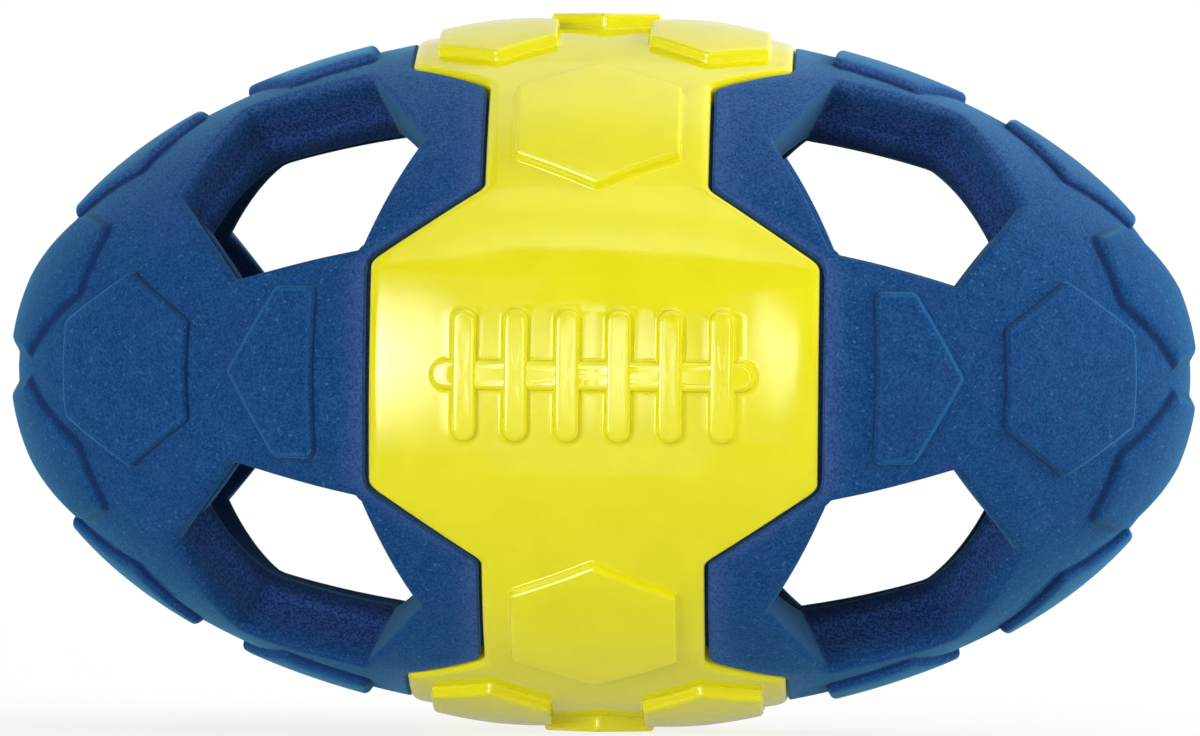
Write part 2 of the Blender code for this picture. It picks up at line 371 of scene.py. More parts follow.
def fused(base: BMesh, *layers: BMesh) -> BMesh:
    """Fuse closed meshes into one.

    Args:
        base: the main body.
        layers: what is fused onto it, each a mesh of bodies that don't overlap one another.

    Returns:
        One closed mesh. The meshes given are freed.
    """
    helpers = [mesh_object("helper", bm) for bm in (base, *layers)]
    for helper in helpers[1:]:
        union = helpers[0].modifiers.new("union", "BOOLEAN")
        union.operation, union.solver, union.object = "UNION", "MANIFOLD", helper
    whole = bmesh.new()
    whole.from_object(helpers[0], bpy.context.evaluated_depsgraph_get())
    for helper in helpers:
        bpy.data.meshes.remove(helper.data)
    return whole


@dataclass(frozen=True)
class Relief:
    """Edge of a raised plate: a root under the skin, a flared toe, a wall and a round up to the crown.

    The depth that the toe starts at and the height that it ends at are shares of the plate's height.
    """

    root: float
    flare: float
    shoulder: float
    drop: float
    sunk: float = 0.03
    toe: float = 0.42
    toe_shares: tuple[float, ...] = (0.3, 0.55, 0.8, 1.0)
    crown_steps: int = 5

    def steps(self, height: float) -> list[Flat]:
        """Steps of the profile.

        Args:
            height: the plate's height.

        Returns:
            Spread from the outline and height over the skin, from the root to the crown.
        """
        low = height - self.drop
        profile = [(self.flare, -self.root), (self.flare, -self.sunk * height)]
        for share in self.toe_shares:
            profile.append((self.flare * (1 - share) ** 2, self.toe * height * share ** 2))
        profile.append((0.0, low))
        for share in shares(self.crown_steps)[1:]:
            turn = QUARTER_TURN * share
            profile.append((self.shoulder * (math.cos(turn) - 1), low + self.drop * math.sin(turn)))
        return profile


@dataclass(frozen=True)
class SoftRelief(Relief):
    """Edge of a foamed plate: one soft slope from the skin up to the crown."""

    drop: float = 0.0
    slope_steps: int = 10

    def steps(self, height: float) -> list[Flat]:
        """Steps of the profile, in the same form as a plain relief's."""
        profile = [(self.flare, -self.root)]
        for share in shares(self.slope_steps):
            rise = (1 - math.cos(HALF_TURN * share)) / 2 - self.sunk
            profile.append((self.flare - (self.flare + self.shoulder) * share, rise * height))
        return profile


@dataclass(frozen=True)
class Plate:
    """A raised plate moulded on a skin."""

    spot: Spot
    corners: Corners
    height: float
    relief: Relief
    corner_radius: float
    flat_top: bool = False
    arc_steps: int = 6
    side_steps: int = 14
    fill_rings: int = 6

    def lifted(self, spot: Vector, height: float) -> Vector:
        """Point of the plate.

        Args:
            spot: where it lies in the plate's frame.
            height: its height over the skin.

        Returns:
            The point. On a flat top, the full height is level all over the plate.
        """
        line, egg = self.spot.line(spot), self.spot.egg
        if not self.flat_top:
            return egg.grown(height).pierced(*line)
        low = egg.grown(min(height, 0.0)).pierced(*line)
        top = self.spot.axes @ Vector((*spot, self.height))
        return low.lerp(top, max(height, 0.0) / self.height)

    def add_to(self, bm: BMesh) -> None:
        """Build the plate as a closed body: a root, a flared wall, a rounded edge and a crown.

        Args:
            bm: the mesh to add to.
        """
        outline = rounded(self.corners, self.corner_radius, self.arc_steps, self.side_steps)
        rings = [[self.lifted(point + out * spread, height) for point, out in outline]
                 for spread, height in self.relief.steps(self.height)]
        rim = [point - out * self.relief.shoulder for point, out in outline]
        middle = sum(rim, Vector((0.0, 0.0))) / len(rim)
        for share in shares(self.fill_rings)[-2::-1]:
            rings.append([self.lifted(middle.lerp(point, share), self.height) for point in rim])
        bm.faces.new(loft(bm, rings)[::-1])


def plate_layer(plates: Iterable[Plate]) -> BMesh:
    """Build plates as closed bodies.

    Args:
        plates: the plates, which don't overlap.

    Returns:
        A mesh of them all.
    """
    bm = bmesh.new()
    for plate in plates:
        plate.add_to(bm)
    closed_normals(bm)
    return bm


def upright_hexagon(half_width: float, to_corner: float, to_point: float) -> Corners:
    """Corners of a hexagon with points up and down the skin, from the upper right corner on."""
    return ((half_width, to_corner), (0.0, to_point), (-half_width, to_corner),
            (-half_width, -to_corner), (0.0, -to_point), (half_width, -to_corner))


def regular_hexagon(radius: float) -> Corners:
    """Corners of a regular hexagon with points up and down the skin."""
    return upright_hexagon(radius * math.sin(SIXTH_TURN), radius / 2, radius)


def long_hexagon(to_tip: float, tip_shoulder: float, to_belt: float, belt_shoulder: float,
                 half_width: float) -> Corners:
    """Corners of a hexagon with a point to the tip and one to the belt, from the belt's point on."""
    return ((-to_belt, 0.0), (-belt_shoulder, -half_width), (tip_shoulder, -half_width),
            (to_tip, 0.0), (tip_shoulder, half_width), (-belt_shoulder, half_width))


def cut_hexagon(radius: float, cut: float) -> Corners:
    """Corners of a hexagon that points to the tip and is cut straight on its belt side."""
    half_width = radius * math.sin(SIXTH_TURN)
    return ((radius, 0.0), (radius / 2, half_width), (cut, half_width), (cut, -half_width),
            (radius / 2, -half_width))


@dataclass(frozen=True)
class BeltOutline:
    """Outline of the belt: half its width at each angle round the ball."""

    girth: float
    front_half: float = 30.5 * MM
    front_end: float = 20.1 * DEG
    neck_half: float = 15.2 * MM
    neck_start: float = 32.6 * DEG
    neck_end: float = 56.9 * DEG
    top_half: float = 26.2 * MM
    top_start: float = 66.8 * DEG
    softness: float = 0.9 * DEG
    soft_steps: int = 8

    def corner_shift(self, margin: float, rise: float, run: float) -> float:
        """Angle by which the corners of a slope move when the outline is widened by a margin."""
        return margin * math.tan(math.atan2(rise, run * self.girth) / 2) / self.girth

    def corners(self, margin: float) -> list[Flat]:
        """Corners of a quarter of the outline.

        Args:
            margin: distance by which the outline is widened.

        Returns:
            Angle and half width of each corner, from the front's middle to the top's.
        """
        front_rise, front_run = self.front_half - self.neck_half, self.neck_start - self.front_end
        top_rise, top_run = self.top_half - self.neck_half, self.top_start - self.neck_end
        front = self.corner_shift(margin, front_rise, front_run)
        top = self.corner_shift(margin, top_rise, top_run)
        angles = (0.0, self.front_end + front, self.neck_start + front,
                  self.neck_end - top, self.top_start - top, QUARTER_TURN)
        halves = (self.front_half, self.front_half, self.neck_half,
                  self.neck_half, self.top_half, self.top_half)
        return [(angle, half + margin) for angle, half in zip(angles, halves)]

    def sharp_half(self, angle: float, margin: float) -> float:
        """Half width with sharp corners.

        Args:
            angle: where it is measured.
            margin: distance by which the outline is widened.

        Returns:
            The half width.
        """
        angle, corners = fold(angle), self.corners(margin)
        for (low, half), (high, next_half) in zip(corners, corners[1:]):
            if angle <= high:
                return half + (next_half - half) * (angle - low) / (high - low)
        return corners[-1][1]

    def half(self, angle: float, margin: float = 0.0) -> float:
        """Half width at an angle, with soft corners."""
        turns = [self.softness * (2 * share - 1) for share in shares(self.soft_steps)]
        return sum(self.sharp_half(angle + turn, margin) for turn in turns) / len(turns)


@dataclass(frozen=True)
class Window:
    """A jaw window: a hexagonal hole square to the skin, with rounded rims and a ledge low in its wall."""

    station: float = 43.4 * MM
    angle: float = 45.0 * DEG
    to_tip: float = 16.0 * MM
    to_belt: float = 20.0 * MM
    tip_shoulder: float = 7.8 * MM
    belt_shoulder: float = 10.6 * MM
    half_width: float = 16.8 * MM
    draft: float = 4.0 * DEG
    corner_radius: float = 1.2 * MM
    rim: float = 1.5 * MM
    inner_rim: float = 1.1 * MM
    wall_steps: int = 3
    ledge_at: float = 0.66
    ledge: float = 0.25 * MM
    ledge_taper: float = 0.5 * MM
    ledge_shares: tuple[float, ...] = (0.08, 0.4, 0.7, 1.0)
    arc_steps: int = 8
    side_steps: int = 20

    @property
    def corner_steps(self) -> int:
        """Steps from one corner of the outline to the next."""
        return self.arc_steps + self.side_steps

    @property
    def wall_profile(self) -> list[Flat]:
        """Steps down the wall: share of its depth, and distance by which it closes in."""
        high = [(self.ledge_at * share, 0.0) for share in shares(self.wall_steps)[1:]]
        low = [(self.ledge_at + (1 - self.ledge_at) * share, self.ledge + self.ledge_taper * share)
               for share in self.ledge_shares]
        return high + low

    def lines(self, skin: Egg) -> list[tuple[Vector, Vector]]:
        """Lines along the hole's wall.

        Args:
            skin: the shell's outer skin.

        Returns:
            A point and a direction of each line, from the belt's point round over the top.
        """
        spot = Spot(skin, self.station, self.angle)
        corners = long_hexagon(self.to_tip, self.tip_shoulder, self.to_belt, self.belt_shoulder,
                               self.half_width)
        outline = rounded(corners, self.corner_radius, self.arc_steps, self.side_steps)
        spread = math.tan(self.draft) / self.half_width
        return [spot.line(point, spread) for point, _ in outline[:1] + outline[:0:-1]]


@dataclass
class ShellQuarter:
    """The quarter of a shell between the front and the top, as matching points round its window.

    Point 0 lies where the window points to the middle of the belt's neck, and the points run over the
    top. The belt edge takes the points on both sides of point 0, the quarter's two straight borders
    the others, up to the tip.
    """

    shell: "HalfShell"
    lip_share: float = 0.4
    rim_share: float = 0.45
    rim_reach: float = 0.6
    ledge_ends: Flat = (0.85, 1.15)

    def __post_init__(self) -> None:
        """Work out the matching points."""
        shell, window = self.shell, self.shell.window
        self.skin, self.bore = shell.skin, shell.bore
        self.lines = window.lines(self.skin)
        count = len(self.lines)
        self.holes = [self.skin.pierced(*line) for line in self.lines]
        self.inner_holes = [self.bore.pierced(*line) for line in self.lines]
        up = shell.edge_angles(window.angle, Quarter.TOP.angle)
        down = shell.edge_angles(window.angle, Quarter.FRONT.angle)
        self.angles = down[:0:-1] + up
        self.belt = [index % count for index in range(1 - len(down), len(up))]
        self.lips, self.rims = [0.0] * count, [window.rim] * count
        self.border, self.bore_border = [Vector()] * count, [Vector()] * count
        for index, angle in zip(self.belt, self.angles):
            gap = (self.holes[index] - shell.edge_point(angle)).length
            self.lips[index] = min(shell.lip, self.lip_share * gap)
            self.rims[index] = min(window.rim, self.rim_share * gap)
            self.border[index] = shell.edge_point(angle, self.lips[index])
            self.bore_border[index] = self.bore.place(shell.joint_station, angle)
        for run, side, sign in ((up, Quarter.TOP, 1), (down, Quarter.FRONT, -1)):
            last = len(run) - 1
            steps = count // 2 - last
            for egg, loop in ((self.skin, self.border), (self.bore, self.bore_border)):
                first = egg.lean(loop[sign * last].x)
                for step, share in enumerate(shares(steps)[1:], start=1):
                    loop[sign * (last + step) % count] = egg.at(first * (1 - share), side.angle)

    def skin_ring(self, egg: Egg, share: float) -> Ring:
        """Ring on the outer skin or the bore, between its border and the window's rounded rim.

        Args:
            egg: the skin.
            share: 0 for the border, 1 for the rim's edge.

        Returns:
            The ring's points.
        """
        outside = egg is self.skin
        border, holes = (self.border, self.holes) if outside else (self.bore_border, self.inner_holes)
        rims = self.rims if outside else [self.shell.window.inner_rim] * len(holes)
        ring = []
        for outer, hole, rim in zip(border, holes, rims):
            reach = 1.0 - min(self.rim_reach, rim / max((outer - hole).length, TINY))
            ring.append(egg.unflat(egg.flat(outer).lerp(egg.flat(hole), share * reach)))
        return ring

    def wall_ring(self, share: float, inset: float) -> Ring:
        """Ring down the window's wall.

        Args:
            share: 0 under the outer rim, 1 above the inner rim.
            inset: distance by which the ring closes in on the window's middle.

        Returns:
            The ring's points.
        """
        window, ring, count = self.shell.window, [], len(self.holes)
        middle = sum(self.holes, Vector()) / count
        walls = zip(self.holes, self.inner_holes, self.lines, self.rims)
        for index, (hole, inner, (_, way), rim) in enumerate(walls):
            ledge = soft_step(*self.ledge_ends, min(index, count - index) / window.corner_steps)
            down = -way.normalized()
            point = (hole + down * rim).lerp(inner - down * window.inner_rim, share)
            aside = middle - point
            ring.append(point + (aside - down * aside.dot(down)).normalized() * inset * ledge)
        return ring

    def rings(self) -> list[Ring]:
        """Rings from the skin's border over the rim, down the window's wall and along the bore."""
        shell = self.shell
        rings = [self.skin_ring(self.skin, share) for share in shares(shell.skin_rings)]
        rings += rounding(rings[-1], self.holes, self.wall_ring(0.0, 0.0), shell.rim_rings)
        rings += [self.wall_ring(share, inset) for share, inset in shell.window.wall_profile]
        walls = zip(self.inner_holes, rings[-1], self.wall_ring(1.0, 0.0))
        corners = [inner + low - plain for inner, low, plain in walls]
        rings += rounding(rings[-1], corners, self.skin_ring(self.bore, 1.0), shell.rim_rings)
        return rings + [self.skin_ring(self.bore, share) for share in shares(shell.inner_rings)[-2::-1]]

    def chain(self, egg: Egg, stations: Sequence[float]) -> Ring:
        """Points of a skin along the belt edge, each at its own station."""
        return [egg.place(station, angle) for station, angle in zip(stations, self.angles)]

    def closing_rings(self) -> list[Ring]:
        """Chains along the belt edge: its lip, the recess's wall and floor, and the joint to the bore."""
        shell, angles, gap = self.shell, self.angles, self.shell.fit / 2
        groove, floor = self.skin.grown(-shell.groove_depth), self.skin.grown(-shell.recess)
        halves = [shell.edge(angle) for angle in angles]
        snug = [shell.outline.half(angle, shell.snug) for angle in angles]
        border = [self.border[index] for index in self.belt]
        drop = [self.skin.grown(-self.lips[index]).place(half, angle)
                for index, half, angle in zip(self.belt, halves, angles)]
        rings = rounding(border, self.chain(self.skin, halves), drop, shell.rim_rings)
        rings += [self.chain(groove, halves), self.chain(groove, snug)]
        for share in shares(shell.floor_rings):
            rings.append(self.chain(floor, [half + (gap - half) * share for half in snug]))
        for station in (gap, shell.joint_station):
            rings.append([round_point(station, shell.joint_radius, angle) for angle in angles])
        rings.append(self.chain(self.bore, [shell.joint_station] * len(angles)))
        return rings


@dataclass
class HalfShell:
    """A blue half shell, modelled at the right end and mirrored for the left."""

    end: End
    skin: Egg
    outline: BeltOutline
    window: Window = Window()
    tip_wall: float = 8.0 * MM
    belt_wall: float = 10.9 * MM
    recess: float = 3.5 * MM
    front_groove: float = 0.65 * MM
    neck_groove: float = 0.50 * MM
    top_groove: float = 0.12 * MM
    front_fade: Flat = (18.0 * DEG, 34.0 * DEG)
    top_fade: Flat = (55.0 * DEG, 70.0 * DEG)
    groove_depth: float = 2.4 * MM
    snug: float = 0.04 * MM
    lip: float = 0.5 * MM
    spigot: float = 6.0 * MM
    fit: float = 0.3 * MM
    plate_height: float = 1.25 * MM
    plate_corner: float = 1.2 * MM
    plate_edge: Relief = Relief(root=1.2 * MM, flare=0.15 * MM, shoulder=0.8 * MM, drop=0.85 * MM)
    nose_setback: float = 16.55 * MM
    nose_radius: float = 13.5 * MM
    nose_half: float = 11.3 * MM
    shoulder_station: float = 37.5 * MM
    shoulder_radius: float = 13.5 * MM
    side_shoulder_start: float = 38.3 * MM
    top_shoulder_start: float = 31.8 * MM
    tip_setback: float = 4.95 * MM
    tip_turn: float = 45.0 * DEG
    tip_corners: Corners = long_hexagon(to_tip=12.7 * MM, tip_shoulder=6.6 * MM, to_belt=13.5 * MM,
                                        belt_shoulder=7.6 * MM, half_width=7.2 * MM)
    tip_edge: Relief = SoftRelief(root=1.2 * MM, flare=1.3 * MM, shoulder=0.7 * MM)
    slope_step: float = 0.25 * DEG
    skin_rings: int = 12
    rim_rings: int = 6
    inner_rings: int = 9
    floor_rings: int = 5
    side_steps: int = 11

    @property
    def name(self) -> str:
        """Name of the shell's CAD node."""
        return f"{self.end.name.lower()}_shell"

    @property
    def bore(self) -> Egg:
        """Skin of the inner hollow."""
        return Egg(self.skin.half_length - self.tip_wall, self.skin.half_width - self.belt_wall)

    @property
    def joint_station(self) -> float:
        """Where the bore ends: the left shell's spigot reaches into the right shell."""
        return -self.spigot if self.end is End.LEFT else self.spigot + self.fit

    @property
    def joint_radius(self) -> float:
        """Radius of the left shell's spigot, or of the right shell's rebate for it."""
        outside = self.skin.half_width - self.recess
        return (outside + self.bore.half_width + self.end.value * self.fit) / 2

    def edge(self, angle: float) -> float:
        """Half width of the recess: the belt's and the groove's, which narrows to the top.

        Args:
            angle: where it is measured.

        Returns:
            The half width.
        """
        to_neck, to_top = (soft_step(*fade, fold(angle)) for fade in (self.front_fade, self.top_fade))
        groove = self.front_groove + (self.neck_groove - self.front_groove) * to_neck
        return self.outline.half(angle, groove + (self.top_groove - self.neck_groove) * to_top)

    def edge_point(self, angle: float, push: float = 0.0) -> Vector:
        """Point of the skin at the recess's edge.

        Args:
            angle: where it lies round the ball.
            push: distance by which it is pushed away from the belt, square to the edge.

        Returns:
            The point.
        """
        slope = self.edge(angle + self.slope_step) - self.edge(angle - self.slope_step)
        away = Vector((2 * self.slope_step * self.outline.girth, -slope)).normalized() * push
        return self.skin.place(self.edge(angle) + away.x, angle + away.y / self.outline.girth)

    def edge_angles(self, neck: float, panel: float) -> list[float]:
        """Angles along a quarter's belt edge, even in length up to the panel's corner and beyond it.

        Args:
            neck: angle of the neck's middle.
            panel: angle of the panel's middle, on either side.

        Returns:
            Angles from the neck's middle to the panel's.
        """
        _, (front_corner, _), _, _, (top_corner, _), _ = self.outline.corners(self.neck_groove)
        corner = top_corner if panel > neck else front_corner
        to_corner = evenly(self.edge_point, neck, corner, self.window.corner_steps)
        return [neck] + to_corner + evenly(self.edge_point, corner, panel, self.side_steps)

    def plates(self) -> list[Plate]:
        """The shell's raised plates, as at the right end."""
        nose_station = self.skin.half_length - self.nose_setback
        tip_station = self.skin.half_length - self.tip_setback
        nose = upright_hexagon(self.nose_half, self.nose_radius / 2, self.nose_radius)
        plates = []
        for quarter in Quarter:
            start = self.side_shoulder_start if quarter in WIDE_PANELS else self.top_shoulder_start
            shoulder = cut_hexagon(self.shoulder_radius, start - self.shoulder_station)
            diagonal = quarter.angle + self.tip_turn
            for station, angle, corners, relief in (
                    (nose_station, quarter.angle, nose, self.plate_edge),
                    (self.shoulder_station, quarter.angle, shoulder, self.plate_edge),
                    (tip_station, diagonal, self.tip_corners, self.tip_edge)):
                spot = Spot(self.skin, station, angle)
                plates.append(Plate(spot, corners, self.plate_height, relief, self.plate_corner))
        return plates

    def build(self, lift: float) -> bpy.types.Object:
        """Model the shell.

        Args:
            lift: height of the ball's middle over the floor.

        Returns:
            The shell's object.
        """
        bm = bmesh.new()
        quarter = ShellQuarter(self)
        border = loft(bm, quarter.rings())
        edge = [border[index] for index in quarter.belt]
        for ring in quarter.closing_rings():
            edge = extrude_chain(bm, edge, ring, closed=False)
        closed_normals(bm)
        for axis in ("Z", "Y"):
            whole = bm.verts[:] + bm.edges[:] + bm.faces[:]
            bmesh.ops.mirror(bm, geom=whole, axis=axis, merge_dist=MERGE)
        closed_normals(bm)
        bm = fused(bm, plate_layer(self.plates()))
        if self.end is End.LEFT:
            bmesh.ops.scale(bm, verts=bm.verts, vec=(-1.0, 1.0, 1.0))
        closed_normals(bm)
        return finished_object(f"{self.name}_skin", bm, lift)


@dataclass
class Belt:
    """The yellow belt: one ring with plates on its necks and panels, and lacing at front and back."""

    skin: Egg
    outline: BeltOutline
    name: str = "belt"
    thickness: float = 3.2 * MM
    proud: float = 0.4 * MM
    edge_width: float = 1.5 * MM
    edge_drop: float = 0.8 * MM
    plate_height: float = 1.5 * MM
    plate_edge: Relief = Relief(root=1.2 * MM, flare=0.25 * MM, shoulder=0.55 * MM, drop=0.5 * MM)
    plate_corner: float = 0.8 * MM
    neck_plate: Corners = upright_hexagon(half_width=11.3 * MM, to_corner=6.6 * MM, to_point=11.9 * MM)
    neck_plate_turn: float = 45.5 * DEG
    pad: Corners = regular_hexagon(8.8 * MM)
    corner_plate: Corners = regular_hexagon(9.6 * MM)
    corner_plate_station: float = 14.6 * MM
    corner_plate_turn: float = 14.6 * DEG
    lace_edge: Relief = Relief(root=0.8 * MM, flare=0.7 * MM, shoulder=0.7 * MM, drop=0.5 * MM)
    lace_roundness: float = 0.96
    lace_steps: int = 10
    lace_fill_rings: int = 3
    bar_half_length: float = 22.0 * MM
    bar_half_width: float = 2.0 * MM
    bar_height: float = 0.8 * MM
    stitch_count: int = 6
    stitch_pitch: float = 7.0 * MM
    stitch_half_width: float = 1.7 * MM
    stitch_half_length: float = 9.0 * MM
    stitch_height: float = 1.0 * MM
    angle_steps: int = 720
    columns: int = 36
    under_columns: int = 8
    edge_rings: int = 6

    def ring(self, share: float, inset: float, offset: float) -> Ring:
        """Ring round the belt.

        Args:
            share: -1 and 1 for its edges, 0 for its middle line.
            inset: distance of the share's ends from the edges.
            offset: height over the shells' skin.

        Returns:
            The ring's points.
        """
        egg = self.skin.grown(offset)
        angles = [2 * HALF_TURN * share for share in shares(self.angle_steps)[:-1]]
        return [egg.place(share * (self.outline.half(angle) - inset), angle) for angle in angles]

    def rings(self) -> list[Ring]:
        """Rings round the belt's cross-section, closing on the first."""
        sides, wall = [], (-self.thickness, self.proud - 2 * self.edge_drop)
        for sign in (1.0, -1.0):
            side = [self.ring(sign, 0.0, offset) for offset in wall]
            for share in shares(self.edge_rings):
                turn = QUARTER_TURN * share
                drop = self.edge_drop * (1 - math.sin(turn))
                side.append(self.ring(sign, self.edge_width * (1 - math.cos(turn)), self.proud - drop))
            sides.append(side)
        across = [self.ring(1.0 - 2.0 * share, self.edge_width, self.proud)
                  for share in shares(self.columns)[1:-1]]
        under = [self.ring(2.0 * share - 1.0, 0.0, -self.thickness)
                 for share in shares(self.under_columns)[1:-1]]
        return sides[0] + across + sides[1][::-1] + under + sides[0][:1]

    def plates(self) -> list[Plate]:
        """The belt's raised plates."""
        face = self.skin.grown(self.proud)
        style = dict(height=self.plate_height, relief=self.plate_edge, corner_radius=self.plate_corner)
        plates = []
        for middle in WIDE_PANELS:
            for turn in (self.neck_plate_turn, -self.neck_plate_turn):
                plates.append(Plate(Spot(face, 0.0, middle.angle + turn), self.neck_plate, **style))
        for middle in NARROW_PANELS:
            plates.append(Plate(Spot(face, 0.0, middle.angle), self.pad, flat_top=True, **style))
            for station in (-self.corner_plate_station, self.corner_plate_station):
                for turn in (self.corner_plate_turn, -self.corner_plate_turn):
                    spot = Spot(face, station, middle.angle + turn)
                    plates.append(Plate(spot, self.corner_plate, **style))
        return plates

    def lacing(self) -> tuple[list[Plate], list[Plate]]:
        """The lacing at front and back: a bar along each panel, and the stitches across it."""
        face = self.skin.grown(self.proud)
        bars, stitches = [], []
        for middle in WIDE_PANELS:
            spot = Spot(face, 0.0, middle.angle)
            bars.append(self.lace(spot, 0.0, self.bar_half_length, self.bar_half_width, self.bar_height))
            for stitch in range(self.stitch_count):
                station = (stitch - (self.stitch_count - 1) / 2) * self.stitch_pitch
                half_x, half_y = self.stitch_half_width, self.stitch_half_length
                stitches.append(self.lace(spot, station, half_x, half_y, self.stitch_height))
        return bars, stitches

    def lace(self, spot: Spot, station: float, half_x: float, half_y: float, height: float) -> Plate:
        """A length of lace with round ends.

        Args:
            spot: frame at the panel's middle.
            station: where the lace's middle lies along the panel.
            half_x: half its size along the panel.
            half_y: half its size round the ball.
            height: its height over the panel.

        Returns:
            The lace as a plate.
        """
        corners = ((station - half_x, -half_y), (station + half_x, -half_y),
                   (station + half_x, half_y), (station - half_x, half_y))
        radius = self.lace_roundness * min(half_x, half_y)
        return Plate(spot, corners, height, self.lace_edge, radius, arc_steps=self.lace_steps,
                     side_steps=self.lace_steps, fill_rings=self.lace_fill_rings)

    def build(self, lift: float) -> bpy.types.Object:
        """Model the belt.

        Args:
            lift: height of the ball's middle over the floor.

        Returns:
            The belt's object.
        """
        bm = bmesh.new()
        loft(bm, self.rings())
        closed_normals(bm)
        bm = fused(bm, plate_layer(self.plates()), *(plate_layer(laces) for laces in self.lacing()))
        closed_normals(bm)
        return finished_object(f"{self.name}_rubber", bm, lift)


class Value:
    """A shader value on which sums are written as Python expressions."""

    def __init__(self, tree: "ShaderTree", socket: bpy.types.NodeSocket) -> None:
        """Wrap a socket of a tree."""
        self.tree, self.socket = tree, socket

    def _math(self, operation: str, *parts: Number) -> "Value":
        """Add a Math node."""
        return self.tree.node("ShaderNodeMath", {"operation": operation}, dict(enumerate(parts)))

    def __add__(self, other: Number) -> "Value":
        """Sum."""
        return self._math("ADD", self, other)

    __radd__ = __add__

    def __sub__(self, other: Number) -> "Value":
        """Difference."""
        return self._math("SUBTRACT", self, other)

    def __rsub__(self, other: Number) -> "Value":
        """Difference, reflected."""
        return self._math("SUBTRACT", other, self)

    def __mul__(self, other: Number) -> "Value":
        """Product."""
        return self._math("MULTIPLY", self, other)

    __rmul__ = __mul__

    def __truediv__(self, other: Number) -> "Value":
        """Quotient."""
        return self._math("DIVIDE", self, other)

    def __rtruediv__(self, other: Number) -> "Value":
        """Quotient, reflected."""
        return self._math("DIVIDE", other, self)

    def larger(self, other: Number) -> "Value":
        """The larger of two values."""
        return self._math("MAXIMUM", self, other)

    def sign(self) -> "Value":
        """-1 under 0 and 1 over it."""
        return self._math("SIGN", self)

    def angle_over(self, level: Number) -> "Value":
        """Angle of a slope that rises by this value over a level run."""
        return self._math("ARCTAN2", self, level)

    def split(self) -> list["Value"]:
        """The three parts of a vector."""
        parts = self.tree.node("ShaderNodeSeparateXYZ", None, {0: self}).socket.node.outputs
        return [Value(self.tree, part) for part in parts]

    def ramp(self, low: float, high: float, kind: str = "LINEAR") -> "Value":
        """Rise from 0 at one value to 1 at another."""
        sockets = {"Value": self, "From Min": low, "From Max": high}
        return self.tree.node("ShaderNodeMapRange", {"interpolation_type": kind}, sockets)

    def between(self, low: float, high: float) -> "Value":
        """Smooth step from 0 at one value to 1 at another."""
        return self.ramp(low, high, "SMOOTHSTEP")


class ShaderTree:
    """A node tree to which nodes are added one by one."""

    def __init__(self, tree: bpy.types.NodeTree) -> None:
        """Take over a node tree."""
        self.nodes, self.links = tree.nodes, tree.links

    def node(self, kind: str, settings: dict | None = None, sockets: dict | None = None,
             output: int | str = 0) -> Value:
        """Add a node.

        Args:
            kind: the node's type.
            settings: its properties, set first.
            sockets: values or links of its inputs, by name or number.
            output: the output that is wanted.

        Returns:
            The output as a value.
        """
        made = self.nodes.new(kind)
        for key, setting in (settings or {}).items():
            setattr(made, key, setting)
        for key, given in (sockets or {}).items():
            self.feed(made.inputs[key], given)
        return Value(self, made.outputs[output])

    def feed(self, socket: bpy.types.NodeSocket, given: Given) -> None:
        """Link a value to a socket, or set the socket.

        Args:
            socket: an input.
            given: what it takes.
        """
        if isinstance(given, Value):
            self.links.new(given.socket, socket)
        else:
            socket.default_value = given

    def ray(self, kind: str) -> Value:
        """1 for rays of a kind, such as Is Diffuse Ray."""
        return self.node("ShaderNodeLightPath", output=kind)

    def seen(self) -> Value:
        """1 for rays from the camera, also through something clear."""
        return self.ray("Is Camera Ray").larger(self.ray("Is Transmission Ray"))

    def place(self) -> Value:
        """Object coordinates."""
        return self.node("ShaderNodeTexCoord", output="Object")

    def noise(self, scale: float, detail: float = 2.0) -> Value:
        """Noise with so many features to the metre."""
        sockets = {"Vector": self.place(), "Scale": scale, "Detail": detail}
        return self.node("ShaderNodeTexNoise", None, sockets)

    def mixed(self, factor: Value, first: Given, second: Given) -> Value:
        """Mix two colours, by those of a Mix node's sockets that are for colours."""
        sockets = {0: factor, 6: first, 7: second}
        return self.node("ShaderNodeMix", {"data_type": "RGBA"}, sockets, output=2)

    def vector(self, operation: str, *parts: Given, output: str = "Vector") -> Value:
        """Do a sum on vectors."""
        settings = {"operation": operation}
        return self.node("ShaderNodeVectorMath", settings, dict(enumerate(parts)), output)

    def measure(self, operation: str, *parts: Given) -> Value:
        """Do a sum on vectors that gives a number, such as a length."""
        return self.vector(operation, *parts, output="Value")

    def bump(self, height: Value, depth: float, strength: float, below: Value | None = None) -> Value:
        """Bump from a height field.

        Args:
            height: the height field.
            depth: metres to its unit.
            strength: share of the bump that shows.
            below: another bump under this one.

        Returns:
            The bumped normal.
        """
        sockets = {"Height": height, "Distance": depth, "Strength": strength}
        if below is not None:
            sockets["Normal"] = below
        return self.node("ShaderNodeBump", None, sockets)


class FinishTree(ShaderTree):
    """The node tree of one material."""

    def __init__(self, name: str) -> None:
        """Start a material with a Principled shader.

        Args:
            name: the material's name.
        """
        self.material = bpy.data.materials.new(name)
        self.material.use_nodes = True
        super().__init__(self.material.node_tree)
        self.shader = self.nodes["Principled BSDF"]

    def dress(self, piece: bpy.types.Object, **sockets: Given) -> None:
        """Finish the material and give it to a piece.

        Args:
            piece: the piece.
            sockets: what the shader's inputs take, with _ for spaces in their names.
        """
        for key, given in sockets.items():
            self.feed(self.shader.inputs[key.replace("_", " ")], given)
        piece.data.materials.clear()
        piece.data.materials.append(self.material)


